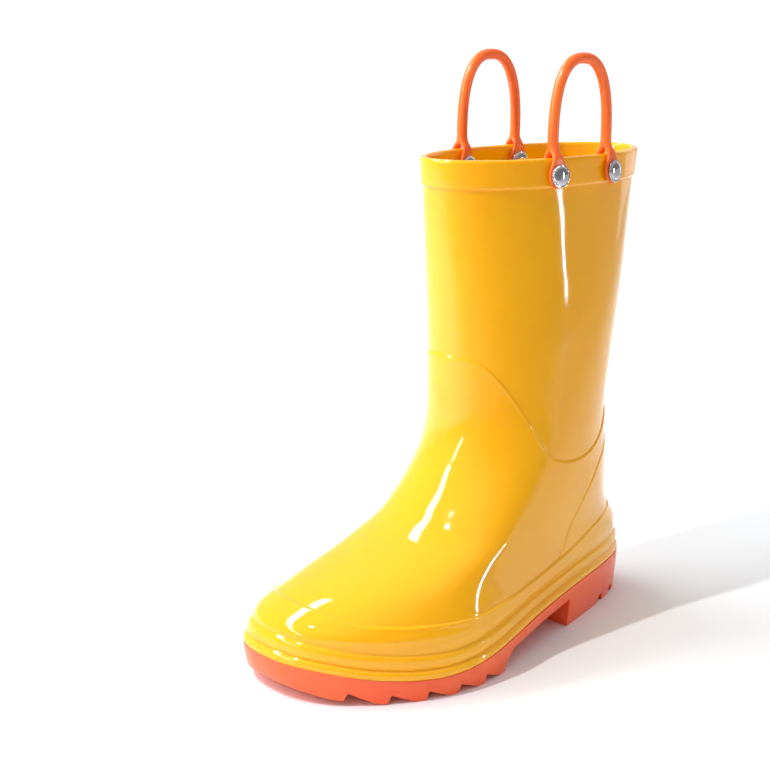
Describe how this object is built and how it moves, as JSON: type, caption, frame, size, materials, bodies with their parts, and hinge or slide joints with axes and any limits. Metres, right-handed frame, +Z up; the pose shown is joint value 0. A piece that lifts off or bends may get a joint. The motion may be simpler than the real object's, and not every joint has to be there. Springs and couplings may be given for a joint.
{
  "type": "rain boot",
  "caption": "Child's left rain boot: moulded upper with collar band, lugged outsole, knit lining, footbed and two flexible pull handles riveted through the collar.",
  "frame": {"origin": "middle of the boot's box, on the ground plane that the heel and lugs stand on", "axes": "+Z up the shaft, toe towards -Y, outer (little toe) side of the left foot at +X"},
  "size_m": [0.088, 0.2138, 0.253],
  "materials": {
    "yellow_pvc": "high-gloss injection-moulded PVC, translucent yellow",
    "orange_pvc": "semi-gloss moulded PVC, coral orange",
    "chrome_cap": "polished chrome plate on brass cap rivets",
    "cotton_knit": "cotton jersey",
    "felt": "needle felt",
    "foam": "closed-cell foam",
    "cover_cloth": "woven cotton cloth laminated on foam"
  },
  "bodies": {
    "boot": {"upper": "yellow_pvc", "outsole": "orange_pvc", "lining": "cotton_knit", "lining_sole": "felt", "insole_foam": "foam", "insole_cover": "cover_cloth", "handle_lateral_fork_front": "orange_pvc", "handle_lateral_fork_rear": "orange_pvc", "handle_medial_fork_front": "orange_pvc", "handle_medial_fork_rear": "orange_pvc", "rivet_lateral_front_cap": "chrome_cap", "rivet_lateral_front_post": "chrome_cap", "rivet_lateral_rear_cap": "chrome_cap", "rivet_lateral_rear_post": "chrome_cap", "rivet_medial_front_cap": "chrome_cap", "rivet_medial_front_post": "chrome_cap", "rivet_medial_rear_cap": "chrome_cap", "rivet_medial_rear_post": "chrome_cap"},
    "handle_lateral": {"handle_lateral_loop": "orange_pvc"},
    "handle_medial": {"handle_medial_loop": "orange_pvc"}
  },
  "joints": [
    {"name": "handle_lateral_bend", "type": "hinge", "parent": "boot", "child": "handle_lateral", "pos_m": [0.01599, 0.0453, 0.21721], "axis": [0, 1, 0], "range_deg": [-32, 75], "stiffness_Nm_per_rad": 0.04},
    {"name": "handle_medial_bend", "type": "hinge", "parent": "boot", "child": "handle_medial", "pos_m": [-0.03734, 0.0453, 0.2173], "axis": [0, -1, 0], "range_deg": [-32, 75], "stiffness_Nm_per_rad": 0.04}
  ]
}
